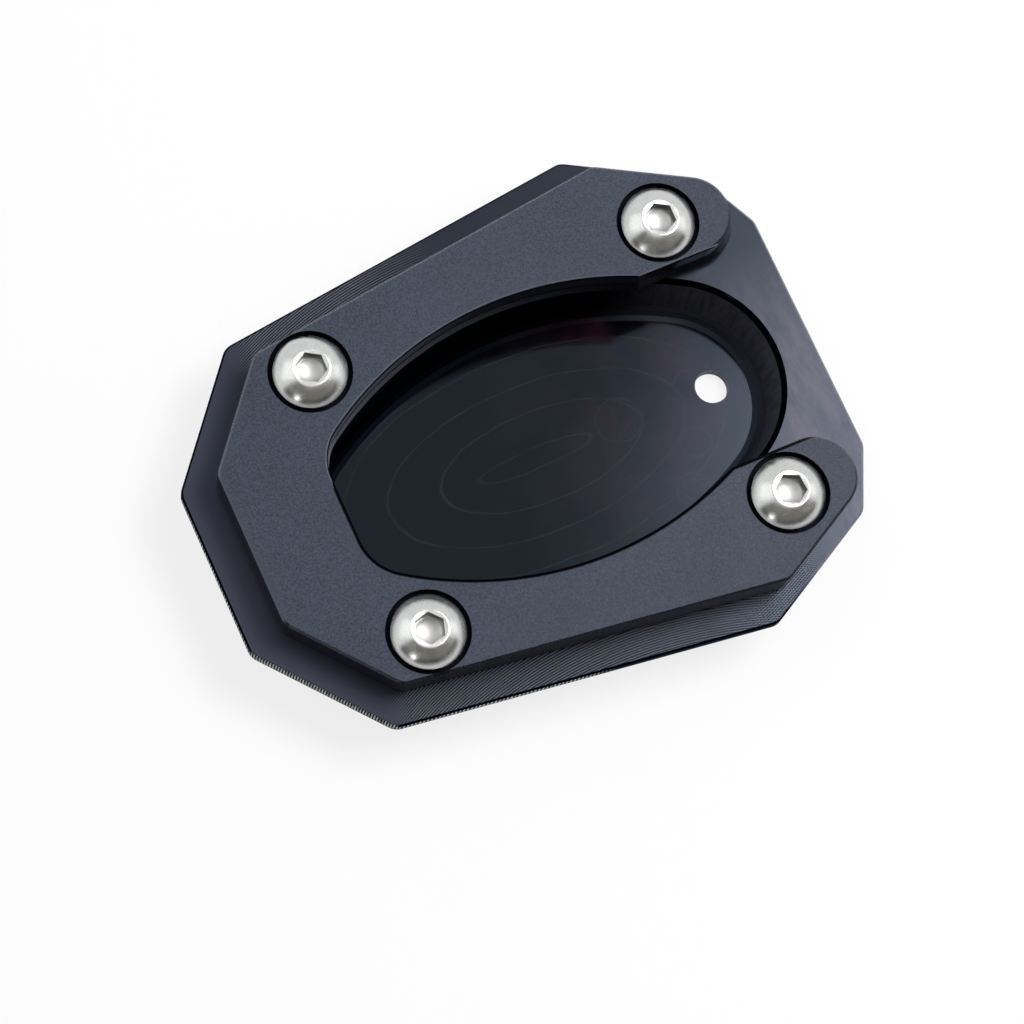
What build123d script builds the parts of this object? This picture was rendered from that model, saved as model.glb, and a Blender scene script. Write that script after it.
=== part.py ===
from build123d import *
import math
import os

# Kickstand foot enlarger: a milled base with a deep pocket for the stand's foot, a clamp plate
# that closes over the foot, and four button head screws. Millimetres, +Z up, origin on the ground
# under the middle of the base's length, +X towards the open end where the stand's leg comes out.

# Heights, from the ground up
underside_bevel_height = 9.5
rim_wall_height = 1.8
seat_pad_height = 1.6
clamp_thickness = 4.6
pocket_floor_thickness = 2.0

# Screw pattern, a trapezoid symmetric about X; edge distances start from its middle
screw_span = 54.4
back_screw_spread = 40.1
front_screw_spread = 43.1

# Outward direction of each outline edge, in degrees from +X
front_corner_angle = 26.0
front_chamfer_angle = 61.6
side_angle = 97.6
back_chamfer_angle = 140.6

# Clamp plate: the distance of each edge, and its corners
clamp_front_chamfer = 39.4
clamp_side = 29.65
clamp_back_chamfer = 41.95
clamp_back = 44.8
clamp_corner_radius = 2.0
clamp_edge_chamfer = 0.35
arm_tip_radius = 5.75

# Opening of the clamp plate: an oval with a straight back, and a mouth between two arms. Its
# wall leans in towards the underside, so that a lip holds the foot down.
opening_back = 30.55
opening_half_width = 19.6
opening_side_radius = 50.0
opening_middle = 0.8
opening_corner_radius = 7.5
mouth_half_width = 15.15
mouth_corner_radius = 1.5
lip_width = 0.4
lip_height = 1.7

# Base: how far its rim stands out past the clamp plate, and the front edges, which have no plate
rim_front_chamfer = 2.4
rim_side = 4.35
rim_back_chamfer = 4.4
rim_back = 5.05
base_front = 42.2
base_front_corner = 45.9
rim_corner_radius = 2.5
rim_edge_chamfer = 0.3
underside_inset = 6.5
underside_corner_radius = 2.5
seat_pad_inset = 0.2

# Pocket of the base: an egg of tangent arcs, with a chamfered rim, a drafted wall, a foot that
# is cut a little wider than the wall above it, and a drain hole
pocket_front_centre = 20.9
pocket_front_radius = 15.35
pocket_middle = 2.0
pocket_half_width = 20.2
pocket_back_radius = 13.7
pocket_rim_chamfer = 0.75
pocket_draft = 7.0
pocket_foot_radius = 2.0
pocket_foot_facets = 4
pocket_foot_relief = 0.12
drain_diameter = 5.0
drain_setback = 7.85

# Button head screws with a hexagon socket, and their holes
thread_diameter = 6.0
thread_clearance = 0.05
screw_length = 12.0
tapped_hole_spare = 1.5
clamp_hole_clearance = 0.35
head_diameter = 10.5
head_land = 1.25
counterbore_clearance = 0.7
dome_height = 2.1
dome_flat_diameter = 5.0
socket_flats = 4.0
socket_depth = 2.0
socket_turns = (29.0, 12.0, 28.0, 34.0)

# Worked out from the above
rim_bottom = underside_bevel_height
rim_top = rim_bottom + rim_wall_height
base_top = rim_top + seat_pad_height
clamp_top = base_top + clamp_thickness
base_back = clamp_back + rim_back
pattern_x = (base_back - base_front) / 2
head_seat = clamp_top - head_land
counterbore_radius = head_diameter / 2 + counterbore_clearance
screw_places = [
    (pattern_x + along * screw_span / 2, across * spread / 2)
    for along, spread in ((-1, back_screw_spread), (1, front_screw_spread))
    for across in (1, -1)
]
base_edge_angles = (
    0, front_corner_angle, front_chamfer_angle, side_angle, back_chamfer_angle, 180
)
rim_distances = (
    base_front,
    base_front_corner,
    clamp_front_chamfer + rim_front_chamfer,
    clamp_side + rim_side,
    clamp_back_chamfer + rim_back_chamfer,
    base_back,
)
underside_distances = tuple(distance - underside_inset for distance in rim_distances)


def crossing(angle_1, distance_1, angle_2, distance_2):
    """Point where two edges cross, each given by its outward angle and its distance."""
    a, b = math.radians(angle_1), math.radians(angle_2)
    turn = math.sin(b - a)
    x = (distance_1 * math.sin(b) - distance_2 * math.sin(a)) / turn
    y = (distance_2 * math.cos(a) - distance_1 * math.cos(b)) / turn
    return x + pattern_x, y


def corners(angles, distances):
    """Corners of a half outline that runs from front to back on the +Y side."""
    edges = list(zip(angles, distances))
    return [crossing(*edges[i], *edges[i + 1]) for i in range(len(edges) - 1)]


def mirrored(points):
    """The points, followed by their mirror images in reverse order."""
    return points + [(x, -y) for x, y in reversed(points)]


def base_section(distances, corner_radius, height):
    """Rounded ten-sided section of the base at a height."""
    section = make_face(Polyline(*mirrored(corners(base_edge_angles, distances)), close=True))
    return Pos(0, 0, height) * fillet(section.vertices(), corner_radius)


def nearest(shape, points):
    """The shape's vertices that lie nearest to the points."""
    return [min(shape.vertices(), key=lambda v: math.dist((v.X, v.Y), p)) for p in points]


def oval(inset):
    """Opening of the clamp plate without its mouth, widened by inset."""
    radius = opening_side_radius + inset
    offset_y = opening_side_radius - opening_half_width
    x = pattern_x + opening_middle
    lens = (Pos(x, offset_y) * Circle(radius)) & (Pos(x, -offset_y) * Circle(radius))
    back = pattern_x - opening_back - inset
    kept = Pos(back + radius, 0) * Rectangle(2 * radius, 2 * radius)
    cut = lens & kept
    half_back = math.sqrt(radius ** 2 - (x - back) ** 2) - offset_y
    return fillet(nearest(cut, [(back, half_back), (back, -half_back)]), opening_corner_radius + inset)


def clamp_outline(inset=0.0, lip=0.0):
    """Plan of the clamp plate, drawn in by inset on all sides, with a lip round its opening."""
    opening_inset = inset - lip
    mouth = mouth_half_width + opening_inset
    plan = corners(
        (-90, front_chamfer_angle, side_angle, back_chamfer_angle, 180),
        (
            -mouth,
            clamp_front_chamfer - inset,
            clamp_side - inset,
            clamp_back_chamfer - inset,
            clamp_back - inset,
        ),
    )
    middle = pattern_x + opening_middle
    plate = make_face(Polyline(*mirrored([(middle, mouth)] + plan), close=True))
    plate = fillet(nearest(plate, mirrored(plan[1:])), clamp_corner_radius)
    plate = plate - oval(opening_inset)
    plate = fillet(nearest(plate, mirrored(plan[:1])), arm_tip_radius - inset)
    side_radius = opening_side_radius + opening_inset
    drop = opening_side_radius - opening_half_width + mouth
    mouth_start = middle + math.sqrt(side_radius ** 2 - drop ** 2)
    return fillet(nearest(plate, mirrored([(mouth_start, mouth)])), mouth_corner_radius)


def tangent_point(centre, radius, other_centre):
    """Where a circle touches a larger one that holds it, on the far side from its centre."""
    reach = math.dist(centre, other_centre)
    x = centre[0] + radius * (centre[0] - other_centre[0]) / reach
    y = centre[1] + radius * (centre[1] - other_centre[1]) / reach
    return x, y


def pocket_section(inset, height):
    """Egg of four tangent arcs, drawn in by inset, at a height."""
    reach = pocket_front_centre - pocket_middle
    spare = pocket_half_width - pocket_front_radius
    side_radius = (reach ** 2 + pocket_half_width ** 2 - pocket_front_radius ** 2) / (2 * spare)
    side_centre = (pattern_x + pocket_middle, pocket_half_width - side_radius)
    back_reach = math.sqrt((side_radius - pocket_back_radius) ** 2 - side_centre[1] ** 2)
    front_centre = (pattern_x + pocket_front_centre, 0)
    back_centre = (side_centre[0] - back_reach, 0)
    front_x, front_y = tangent_point(front_centre, pocket_front_radius - inset, side_centre)
    back_x, back_y = tangent_point(back_centre, pocket_back_radius - inset, side_centre)
    front_tip = front_centre[0] + pocket_front_radius - inset
    back_tip = back_centre[0] - pocket_back_radius + inset
    half_width = pocket_half_width - inset
    egg = make_face(
        [
            ThreePointArc((front_x, -front_y), (front_tip, 0), (front_x, front_y)),
            ThreePointArc((front_x, front_y), (side_centre[0], half_width), (back_x, back_y)),
            ThreePointArc((back_x, back_y), (back_tip, 0), (back_x, -back_y)),
            ThreePointArc((back_x, -back_y), (side_centre[0], -half_width), (front_x, -front_y)),
        ]
    )
    return Pos(0, 0, height) * egg


def pocket_tool():
    """What is milled out for the stand's foot, up to the top of the seat pad."""
    foot_top = pocket_floor_thickness + pocket_foot_radius
    wall_top = rim_top - pocket_rim_chamfer
    wall_foot = (wall_top - foot_top) * math.tan(math.radians(pocket_draft))
    rings = []
    for step in range(pocket_foot_facets + 1):
        turn = math.pi / 2 * step / pocket_foot_facets
        inset = wall_foot - pocket_foot_relief + pocket_foot_radius * (1 - math.sin(turn))
        rings.append(pocket_section(inset, foot_top - pocket_foot_radius * math.cos(turn)))
    wall = [
        pocket_section(wall_foot, foot_top),
        pocket_section(0, wall_top),
        pocket_section(-pocket_rim_chamfer, rim_top),
        pocket_section(-pocket_rim_chamfer, base_top),
    ]
    return loft(rings, ruled=True) + loft(wall, ruled=True)


def upright(radius, bottom, top, place):
    """Upright cylinder from one height to another at a place in plan."""
    return Pos(place[0], place[1], (bottom + top) / 2) * Cylinder(radius, top - bottom)


def base_plate():
    """Base with its bevelled underside, rim, seat pad, pocket and holes."""
    rim = base_section(rim_distances, rim_corner_radius, rim_bottom)
    body = extrude(rim, rim_wall_height)
    body = chamfer(body.faces().sort_by(Axis.Z)[-1].edges(), rim_edge_chamfer)
    body += loft(
        [base_section(underside_distances, underside_corner_radius, 0), rim], ruled=True
    )
    body += extrude(Pos(0, 0, rim_top) * clamp_outline(seat_pad_inset), seat_pad_height)
    body -= pocket_tool()
    drain_place = (pattern_x + pocket_front_centre + pocket_front_radius - drain_setback, 0)
    body -= upright(drain_diameter / 2, 0, pocket_floor_thickness, drain_place)
    hole_bottom = head_seat - screw_length - tapped_hole_spare
    for place in screw_places:
        body -= upright(thread_diameter / 2 + thread_clearance, hole_bottom, base_top, place)
    return body


def clamp_plate():
    """Open plate that closes over the stand's foot, with a counterbored hole for each screw."""
    lip_top = base_top + lip_height
    top = Pos(0, 0, lip_top) * clamp_outline()
    plate = extrude(top, clamp_thickness - lip_height)
    plate = chamfer(plate.faces().sort_by(Axis.Z)[-1].edges(), clamp_edge_chamfer)
    plate += loft([Pos(0, 0, base_top) * clamp_outline(0, lip_width), top], ruled=True)
    for place in screw_places:
        plate -= upright(counterbore_radius, head_seat, clamp_top, place)
        plate -= upright(thread_diameter / 2 + clamp_hole_clearance, base_top, head_seat, place)
    return plate


def clamp_screw(place, turn):
    """Button head screw: a land, a dome with a flat top, a socket and a plain shank."""
    rim, flat, shank = head_diameter / 2, dome_flat_diameter / 2, thread_diameter / 2
    dome_drop = (rim ** 2 - flat ** 2 - dome_height ** 2) / (2 * dome_height)
    dome_radius = math.hypot(rim, dome_drop)
    middle_angle = (math.atan2(dome_drop, rim) + math.atan2(dome_drop + dome_height, flat)) / 2
    middle = (dome_radius * math.cos(middle_angle), dome_radius * math.sin(middle_angle) - dome_drop)
    head_top = head_land + dome_height
    outline = make_face(
        [
            Line((0, head_top), (0, -screw_length)),
            Line((0, -screw_length), (shank, -screw_length)),
            Line((shank, -screw_length), (shank, 0)),
            Line((shank, 0), (rim, 0)),
            Line((rim, 0), (rim, head_land)),
            ThreePointArc((rim, head_land), (middle[0], middle[1] + head_land), (flat, head_top)),
            Line((flat, head_top), (0, head_top)),
        ]
    )
    screw = revolve(Plane.XZ * outline, Axis.Z)
    socket = RegularPolygon(socket_flats / 2, 6, major_radius=False, rotation=turn)
    screw -= extrude(Pos(0, 0, head_top - socket_depth) * socket, socket_depth)
    return Pos(place[0], place[1], head_seat) * screw


os.makedirs("parts", exist_ok=True)
export_step(base_plate(), "parts/base_plate.step")
export_step(clamp_plate(), "parts/clamp_plate.step")
for number, (place, turn) in enumerate(zip(screw_places, socket_turns), start=1):
    export_step(clamp_screw(place, turn), f"parts/clamp_screw_{number}.step")
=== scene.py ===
import math

import bpy
from bpy.props import FloatProperty, FloatVectorProperty, PointerProperty
from mathutils import Matrix, Vector


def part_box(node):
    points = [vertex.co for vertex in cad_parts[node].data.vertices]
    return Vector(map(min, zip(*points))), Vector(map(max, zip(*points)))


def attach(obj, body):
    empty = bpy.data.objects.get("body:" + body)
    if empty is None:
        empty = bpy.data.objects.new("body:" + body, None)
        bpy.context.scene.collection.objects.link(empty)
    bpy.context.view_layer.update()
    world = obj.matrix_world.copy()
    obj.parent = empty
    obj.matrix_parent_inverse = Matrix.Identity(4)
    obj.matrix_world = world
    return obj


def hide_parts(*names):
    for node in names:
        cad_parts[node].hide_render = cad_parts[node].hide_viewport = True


bl_info = {
    "name": "Kickstand Foot Enlarger",
    "version": (1, 0, 0),
    "blender": (4, 5, 0),
    "location": "3D View > Sidebar > Enlarger",
    "description": "Finishes of a milled kickstand foot enlarger and the studio that it stands in",
    "category": "Object",
}

# Everything is in metres, in the frame of the solids that the first lines load.
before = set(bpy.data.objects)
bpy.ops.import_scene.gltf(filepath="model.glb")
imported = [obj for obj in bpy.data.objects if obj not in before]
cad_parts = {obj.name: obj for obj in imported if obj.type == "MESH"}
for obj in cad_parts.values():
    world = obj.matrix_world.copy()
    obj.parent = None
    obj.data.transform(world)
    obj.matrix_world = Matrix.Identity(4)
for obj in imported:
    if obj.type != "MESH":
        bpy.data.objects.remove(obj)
MM = 0.001
WHITE = (1.0, 1.0, 1.0, 1.0)
SCREWS = [f"clamp_screw_{number}" for number in range(1, 5)]
BASE_TOP = 12.9 * MM

# A mask's two limits say where it starts and where it is full, and two more give its value at each. A
# band's three limits say from where to where it is full, and how wide its soft borders are. A slant is
# the Z of a face's normal, from 0 on a wall to 1 on a level face.
NOISE_RANGE = (0.3, 0.7)
BEVELLED = (0.5, 0.9, 0.05)


class BlastedFinish(bpy.types.PropertyGroup):
    """Bead-blasted, anodised skin of the clamp plate, and the shade and highlights painted on it."""

    colour: FloatVectorProperty(
        name="Colour", description="Dye of the anodised skin", subtype="COLOR",
        default=(0.0285, 0.0375, 0.058), min=0.0, max=1.0,
    )
    # Painted shade: the plate's upright walls get this darker colour for the shade on them.
    wall_shade_colour: FloatVectorProperty(
        name="Wall colour", description="Deeper dye on the upright walls", subtype="COLOR",
        default=(0.009, 0.011, 0.018), min=0.0, max=1.0,
    )
    # Metal colour of the cut chamfers, and, a little paler and not metallic, the painted highlight on the
    # opening's far chamfer.
    edge_and_highlight_colour: FloatVectorProperty(
        name="Edge colour", description="Shine of the cut chamfers", subtype="COLOR",
        default=(0.095, 0.105, 0.130), min=0.0, max=1.0,
    )
    # Painted light: the lip's slope is painted paler, most at the closed end and least at the mouth.
    lip_lit_colour: FloatVectorProperty(
        name="Lip colour", description="Thinner dye on the lip", subtype="COLOR",
        default=(0.090, 0.088, 0.105), min=0.0, max=1.0,
    )
    # Painted shade: near black, for the counterbores and for the band on the opening's chamfer on the
    # camera's side.
    bore_shade_colour: FloatVectorProperty(
        name="Bore colour", description="Deep dye in the counterbores", subtype="COLOR",
        default=(0.003, 0.003, 0.005), min=0.0, max=1.0,
    )
    grain: FloatProperty(
        name="Grain", description="Width of one blasting dimple", unit="LENGTH", default=0.26 * MM,
    )
    grain_depth: FloatProperty(
        name="Grain depth", description="Depth of one blasting dimple", unit="LENGTH", default=0.02 * MM,
    )
    roughness: FloatProperty(
        name="Roughness", description="How far the blasted skin scatters a highlight", default=0.5,
    )
    gloss: FloatProperty(
        name="Gloss", description="Specular level of the blasted skin", default=0.2, min=0.0, max=1.0,
    )


class MilledFinish(bpy.types.PropertyGroup):
    """Milled, anodised skin of the base, and the light and shade painted on it."""

    colour: FloatVectorProperty(
        name="Colour", description="Dye of the anodised skin", subtype="COLOR",
        default=(0.0012, 0.0014, 0.0026), min=0.0, max=1.0,
    )
    # Painted light: the base's level top is painted paler than the rest of the base.
    lit_top_colour: FloatVectorProperty(
        name="Top colour", description="Thinner dye on the base's milled top", subtype="COLOR",
        default=(0.019, 0.019, 0.029), min=0.0, max=1.0,
    )
    # Painted highlight on the ridges of the face mill's arcs; the arcs themselves are real tool marks, also
    # given as a bump.
    ridge_highlight_colour: FloatVectorProperty(
        name="Ridge colour", description="Rubbed ridges of the face mill's arcs", subtype="COLOR",
        default=(0.060, 0.061, 0.073), min=0.0, max=1.0,
    )
    # Painted sheen: a pale, streaky reflection on the flat between the arms at the open end.
    sheen_colour: FloatVectorProperty(
        name="Haze colour", description="Pale haze on the flat between the arms", subtype="COLOR",
        default=(0.078, 0.062, 0.070), min=0.0, max=1.0,
    )
    # Painted highlight on the bevel of the outer edge at the open end.
    edge_and_highlight_colour: FloatVectorProperty(
        name="Edge colour", description="Bevelled outer edge at the open end", subtype="COLOR",
        default=(0.14, 0.14, 0.17), min=0.0, max=1.0,
    )
    # Painted light: the pocket's front wall is painted paler; its upright streaks are real tool marks.
    front_lit_colour: FloatVectorProperty(
        name="Front colour", description="Thinner dye on the pocket's front wall", subtype="COLOR",
        default=(0.070, 0.070, 0.092), min=0.0, max=1.0,
    )
    # Lilac blotches on the pocket's floor, from its middle towards the drain.
    floor_blotch_colour: FloatVectorProperty(
        name="Bloom colour", description="Lilac cast of the thinner dye near the drain",
        subtype="COLOR", default=(0.017, 0.007, 0.012), min=0.0, max=1.0,
    )
    mark_colour: FloatVectorProperty(
        name="Mark colour", description="Where a cutter has rubbed the pocket's floor",
        subtype="COLOR", default=(0.014, 0.0165, 0.020), min=0.0, max=1.0,
    )
    tick_colour: FloatVectorProperty(
        name="Tick colour", description="Bright ridges that the cutter left on one rim wall",
        subtype="COLOR", default=(0.45, 0.45, 0.43), min=0.0, max=1.0,
    )
    sweep_radius: FloatProperty(
        name="Sweep radius", description="Radius of the face mill's arcs on the base's top",
        unit="LENGTH", default=67.0 * MM,
    )
    sweep_pitch: FloatProperty(
        name="Sweep pitch", description="Distance between two arcs of the face mill",
        unit="LENGTH", default=0.36 * MM,
    )
    sweep_depth: FloatProperty(
        name="Sweep depth", description="Height of the ridges between two arcs",
        unit="LENGTH", default=0.018 * MM,
    )
    tick_pitch: FloatProperty(
        name="Tick pitch", description="Distance between two ridges on the rim wall",
        unit="LENGTH", default=0.42 * MM,
    )
    roughness: FloatProperty(
        name="Roughness", description="How far the milled skin scatters a highlight", default=0.09,
    )
    gloss: FloatProperty(
        name="Gloss", description="Specular level of the milled skin", default=0.28, min=0.0, max=1.0,
    )
    tint: FloatVectorProperty(
        name="Tint", description="Cool cast of the dark skin's reflections", subtype="COLOR",
        default=(0.59, 0.77, 1.0), min=0.0, max=1.0,
    )


class ScrewSizes(bpy.types.PropertyGroup):
    """Shape of a button head and finish of its stainless steel."""

    head_land: FloatProperty(
        name="Head land", description="Height of the head's upright rim", unit="LENGTH",
        default=1.25 * MM,
    )
    shank: FloatProperty(
        name="Shank", description="Diameter of the shank", unit="LENGTH", default=6.0 * MM,
    )
    length: FloatProperty(
        name="Length", description="Length of the shank below the head", unit="LENGTH",
        default=12.0 * MM,
    )
    flat: FloatProperty(
        name="Flat", description="Diameter of the dome's flat top", unit="LENGTH", default=5.2 * MM,
    )
    lead_in: FloatProperty(
        name="Lead-in", description="Depth of the cone that leads into the socket", unit="LENGTH",
        default=0.10 * MM,
    )
    socket: FloatProperty(
        name="Socket", description="Distance across the socket's flats", unit="LENGTH",
        default=4.0 * MM,
    )
    socket_depth: FloatProperty(
        name="Socket depth", description="Depth of the socket's flats", unit="LENGTH",
        default=2.0 * MM,
    )
    drill: FloatProperty(
        name="Drill", description="Diameter of the drilled cone under the flats", unit="LENGTH",
        default=3.7 * MM,
    )
    drill_depth: FloatProperty(
        name="Drill depth", description="Depth of the drilled cone", unit="LENGTH", default=1.0 * MM,
    )
    turns: FloatVectorProperty(
        name="Turns", description="Turn of each screw's hexagon", subtype="EULER", size=4,
        default=tuple(math.radians(turn) for turn in (29.0, 12.0, 28.0, 34.0)),
    )
    colour: FloatVectorProperty(
        name="Colour", description="Colour of the steel", subtype="COLOR",
        default=(0.60, 0.61, 0.60), min=0.0, max=1.0,
    )
    roughness: FloatProperty(
        name="Roughness", description="How far the satin heads scatter a highlight", default=0.24,
    )


class Studio(bpy.types.PropertyGroup):
    """Pale floor, soft lamps and camera."""

    aim: FloatVectorProperty(
        name="Aim", description="Point in the middle of the picture", subtype="TRANSLATION",
        default=(-5.30 * MM, -8.60 * MM, 15.0 * MM),
    )
    distance: FloatProperty(
        name="Distance", description="From the camera to the aim", unit="LENGTH", default=472.6 * MM,
    )
    heading: FloatProperty(
        name="Heading", description="Turn of the line of sight from +X", subtype="ANGLE",
        default=math.radians(43.67),
    )
    elevation: FloatProperty(
        name="Elevation", description="Height of the camera above the floor", subtype="ANGLE",
        default=math.radians(73.24),
    )
    roll: FloatProperty(
        name="Roll", description="Turn of the picture about the line of sight", subtype="ANGLE",
        default=math.radians(22.68),
    )
    lens: FloatProperty(name="Lens", description="Focal length in millimetres", default=120.1)
    softbox_glow: FloatProperty(
        name="Softbox glow", description="Radiance in the middle of the round softbox", default=13.3,
    )
    softbox_colour: FloatVectorProperty(
        name="Softbox colour", description="Colour of the round softbox", subtype="COLOR",
        default=(1.0, 0.95, 0.96), min=0.0, max=1.0,
    )
    side_power: FloatProperty(
        name="Side power", description="Power of the soft lamp behind the closed end", unit="POWER",
        default=0.45,
    )
    front_power: FloatProperty(
        name="Front power", description="Power of the soft lamp before the open end", unit="POWER",
        default=0.12,
    )
    window_power: FloatProperty(
        name="Window power", description="Power of the small low lamp beside the camera",
        unit="POWER", default=0.15,
    )
    floor_glow: FloatProperty(
        name="Floor glow", description="How white the floor stays where the part shades it",
        default=0.8, min=0.0, max=1.0,
    )


class Enlarger(bpy.types.PropertyGroup):
    """All the sizes and colours that a user may change."""

    blasted: PointerProperty(type=BlastedFinish, name="Clamp plate", description="Clamp plate's finish")
    milled: PointerProperty(type=MilledFinish, name="Base", description="Base's finish")
    screws: PointerProperty(type=ScrewSizes, name="Screws", description="Screws' shape and finish")
    studio: PointerProperty(type=Studio, name="Studio", description="Floor, lamps and camera")


class Tree:
    """The nodes and links of a material or a world that is being built."""

    def __init__(self, owner):
        owner.use_nodes = True
        self.nodes, self.links = owner.node_tree.nodes, owner.node_tree.links

    def node(self, kind, inputs=None, **settings):
        """A new node with its settings, its plain inputs set and its linked inputs joined."""
        made = self.nodes.new(kind)
        for setting, value in settings.items():
            setattr(made, setting, value)
        for socket, value in (inputs or {}).items():
            if isinstance(value, bpy.types.NodeSocket):
                self.links.new(value, made.inputs[socket])
            else:
                made.inputs[socket].default_value = value
        return made

    def math(self, operation, first, second=0.0):
        """Result of a math operation on two numbers or sockets."""
        return self.node("ShaderNodeMath", {0: first, 1: second}, operation=operation).outputs[0]

    def chain(self, operation, values):
        """Result of one math operation over several numbers or sockets, from left to right."""
        result, *others = values
        for value in others:
            result = self.math(operation, result, value)
        return result

    def times(self, *values):
        """Product of several numbers or sockets."""
        return self.chain("MULTIPLY", values)

    def plus(self, *values):
        """Sum of several numbers or sockets."""
        return self.chain("ADD", values)

    def most(self, *values):
        """Highest of several numbers or sockets."""
        return self.chain("MAXIMUM", values)


class Shader(Tree):
    """A material being built, with its Principled shader."""

    def __init__(self, name):
        self.material = bpy.data.materials.new(name)
        super().__init__(self.material)
        self.skin = self.nodes["Principled BSDF"]
        spot = self.node("ShaderNodeTexCoord").outputs
        self.place, self.facing = spot["Object"], spot["Normal"]

    def vector(self, operation, first, second=(0.0, 0.0, 0.0)):
        """Result of a vector operation, which is a number for a length or a dot product."""
        made = self.node("ShaderNodeVectorMath", {0: first, 1: second}, operation=operation)
        return made.outputs["Value" if operation in ("LENGTH", "DOT_PRODUCT") else "Vector"]

    def parts(self, vector):
        """X, Y and Z of a vector socket."""
        return self.node("ShaderNodeSeparateXYZ", {0: vector}).outputs

    def measured(self, place, middle, unit):
        """A place as seen from a middle, in a unit of its own along each axis."""
        inputs = {"Vector": place, "Location": middle, "Scale": unit}
        return self.node("ShaderNodeMapping", inputs, vector_type="TEXTURE").outputs[0]

    def noise(self, width, detail=2.0, roughness=0.5, squeeze=None):
        """Noise whose blotches are about as wide as the given length, and longer where squeezed."""
        place = self.place
        if squeeze is not None:
            inputs = {"Vector": place, "Scale": squeeze}
            place = self.node("ShaderNodeMapping", inputs, vector_type="POINT").outputs[0]
        inputs = {
            "Vector": place,
            "Scale": 1.0 / width,
            "Detail": detail,
            "Roughness": roughness,
        }
        return self.node("ShaderNodeTexNoise", inputs).outputs["Fac"]

    def between(self, factor, low, high, low_value=0.0, high_value=1.0):
        """The factor, stretched from one range to another and clamped."""
        inputs = {
            "Value": factor,
            "From Min": low,
            "From Max": high,
            "To Min": low_value,
            "To Max": high_value,
        }
        return self.node("ShaderNodeMapRange", inputs).outputs["Result"]

    def inside(self, value, low, high, soft):
        """1 between two values, falling to 0 over a soft border."""
        rise = self.between(value, low - soft, low)
        fall = self.between(value, high, high + soft, 1.0, 0.0)
        return self.times(rise, fall)

    def outside(self, mask):
        """1 where a mask is 0, and 0 where it is 1."""
        return self.math("SUBTRACT", 1.0, mask)

    def blend(self, factor, first, second):
        """Colour between two colours or colour sockets."""
        return self.node("ShaderNodeMix", {0: factor, 6: first, 7: second}, data_type="RGBA").outputs[2]

    def tones(self, factor, colour, low, high):
        """A colour that goes from one tone to another with the factor."""
        return self.blend(factor, shade(colour, low), shade(colour, high))

    def coats(self, colour, *layers):
        """The colour under several layers, each a mask and its colour, with the last one on top."""
        for mask, layer in layers:
            colour = self.blend(mask, colour, layer)
        return colour

    def bump(self, height, depth, normal=None):
        """Normal of a relief whose height runs from 0 to depth."""
        inputs = {"Height": height, "Distance": depth, "Strength": 1.0}
        if normal is not None:
            inputs["Normal"] = normal
        return self.node("ShaderNodeBump", inputs).outputs["Normal"]

    def waves(self, length, pitch):
        """Ridges from 0 to 1, a pitch apart along a length."""
        turn = self.times(length, 2.0 * math.pi / pitch)
        return self.between(self.math("SINE", turn), -1.0, 1.0)

    def unsteady(self, width, reach):
        """The place on the part, shifted to and fro by up to a reach."""
        drift = self.node("ShaderNodeTexNoise", {"Vector": self.place, "Scale": 1.0 / width})
        centred = self.vector("SUBTRACT", drift.outputs["Color"], (0.5, 0.5, 0.5))
        return self.vector("ADD", self.place, self.vector("MULTIPLY", centred, (2.0 * reach,) * 3))

    def oval(self, place, middle, half_length, half_width, line):
        """1 on an oval line on the part, 0 off it."""
        reach = self.vector("LENGTH", self.measured(place, middle, (half_length, half_width, 1.0)))
        off = self.math("ABSOLUTE", self.math("SUBTRACT", reach, 1.0))
        return self.between(off, 0.0, line / math.sqrt(half_length * half_width), 1.0, 0.0)

    def plain(self, **values):
        """Sets inputs of the Principled shader that are the same all over."""
        for socket, value in values.items():
            self.skin.inputs[socket.replace("_", " ")].default_value = value

    def join(self, socket, value):
        """Links a socket to one of the Principled shader's inputs."""
        self.links.new(value, self.skin.inputs[socket])

    def cover(self, shader):
        """Shows the shader on the surface in place of the Principled one."""
        self.links.new(shader, self.nodes["Material Output"].inputs["Surface"])


def shade(colour, tone=1.0):
    """The colour made lighter or darker, with its alpha."""
    return tuple(channel * tone for channel in colour) + (1.0,)


def dress(node, material):
    """Gives a node of the frame a material."""
    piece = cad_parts[node]
    piece.data.materials.clear()
    piece.data.materials.append(material)


def settings():
    """The sizes and colours kept with the scene."""
    return bpy.context.scene.enlarger


# The opening's outline in plan: two side arcs, a straight back with round corners, and the mouth. Its
# chamfer is wider to the eye on the camera's side, where a band of it is painted black for shade; on the
# far side a thinner band is painted pale for a highlight.
ARC_MIDDLE = (4.625 * MM, -30.4 * MM)
ARC_RADIUS = 50.0 * MM
CORNER_MIDDLE = (-19.225 * MM, 4.78 * MM)
CORNER_RADIUS = 7.5 * MM
CORNER_END = -23.43 * MM
MOUTH_START = 25.2 * MM
MOUTH_HALF_WIDTH = 15.15 * MM
NEAR_BREAK = 0.52 * MM
FAR_BREAK = 0.37 * MM
FAR_BREAK_SOFT = 0.9 * FAR_BREAK
FAR_BREAK_FOOT = 0.17 * MM
FAR_SIDE = (3.0 * MM, 4.5 * MM)
BREAK_FADE = 0.02 * MM
BREAK_SLANTS = (0.5, 0.6)
BREAK_TONE = 1.15

# Limits, widths and tones of the clamp plate's finish. The lip's run along the plate is in shares of its
# ends' X, and the bores' depths and margins start from the plate's top and the heads' rims.
UPRIGHT_SLANTS = (0.5, 0.3)
LIP_SLANTS = (0.08, 0.45, 0.04)
LIP_TOP = 1.45 * MM
LIP_FADE = 0.1 * MM
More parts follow.
